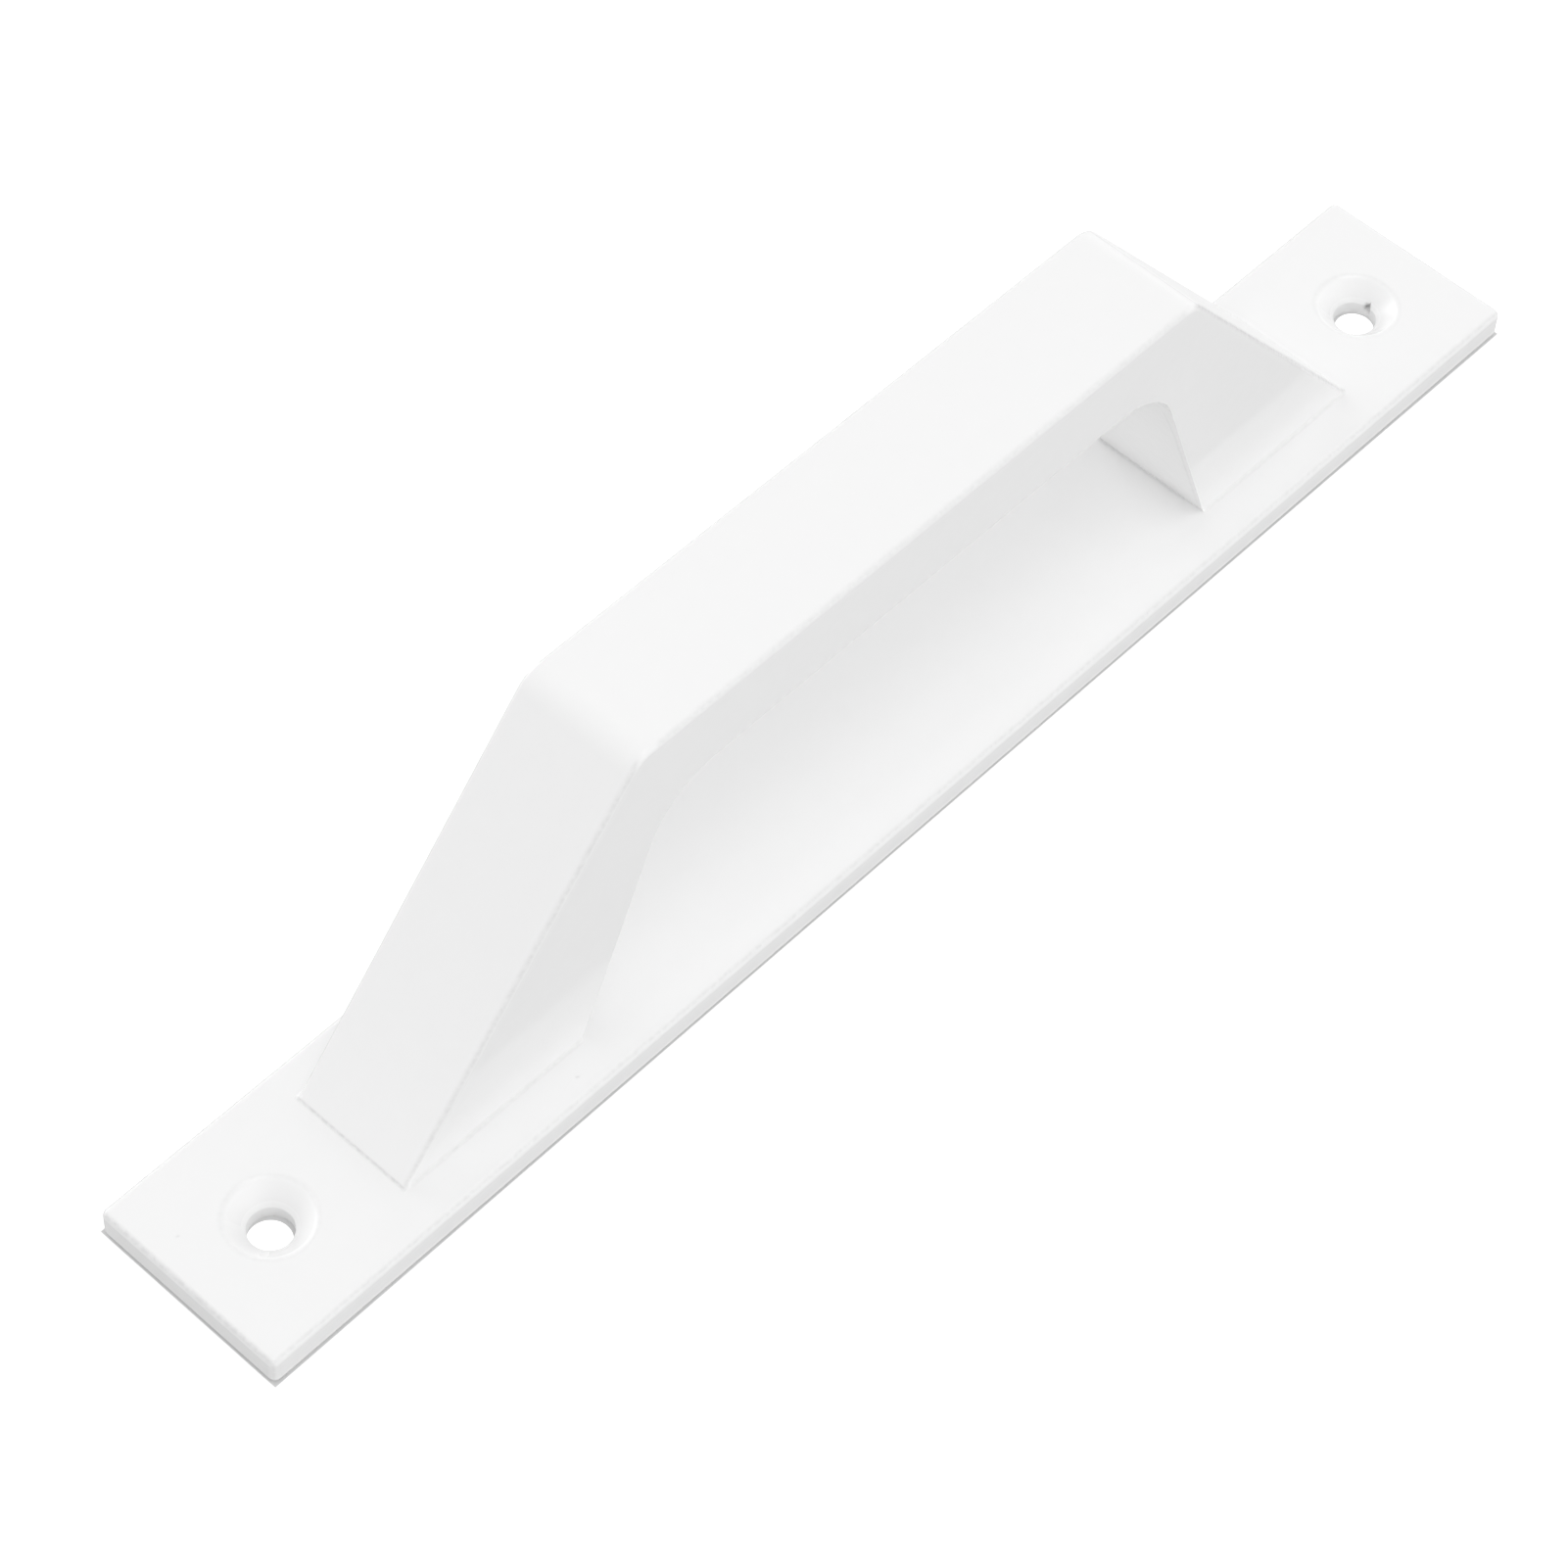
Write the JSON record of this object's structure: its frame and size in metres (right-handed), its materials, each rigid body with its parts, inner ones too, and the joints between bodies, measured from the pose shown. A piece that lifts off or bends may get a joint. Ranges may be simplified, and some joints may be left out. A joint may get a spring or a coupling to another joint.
{
  "type": "barn door pull handle",
  "caption": "Pull handle for a sliding or barn door: a trapezoid grip bridge in one piece with a flat back plate that has countersunk screw holes at its ends.",
  "frame": {"origin": "centre of the plate's back face, where it lies on the door", "axes": "+X along the handle, +Y across the plate, +Z out of the door towards the hand"},
  "size_m": [0.235, 0.0302, 0.053],
  "materials": {
    "white_paint": "semi-gloss white coat with a faint orange peel"
  },
  "bodies": {
    "root": {"pull_handle": "white_paint"}
  },
  "joints": []
}
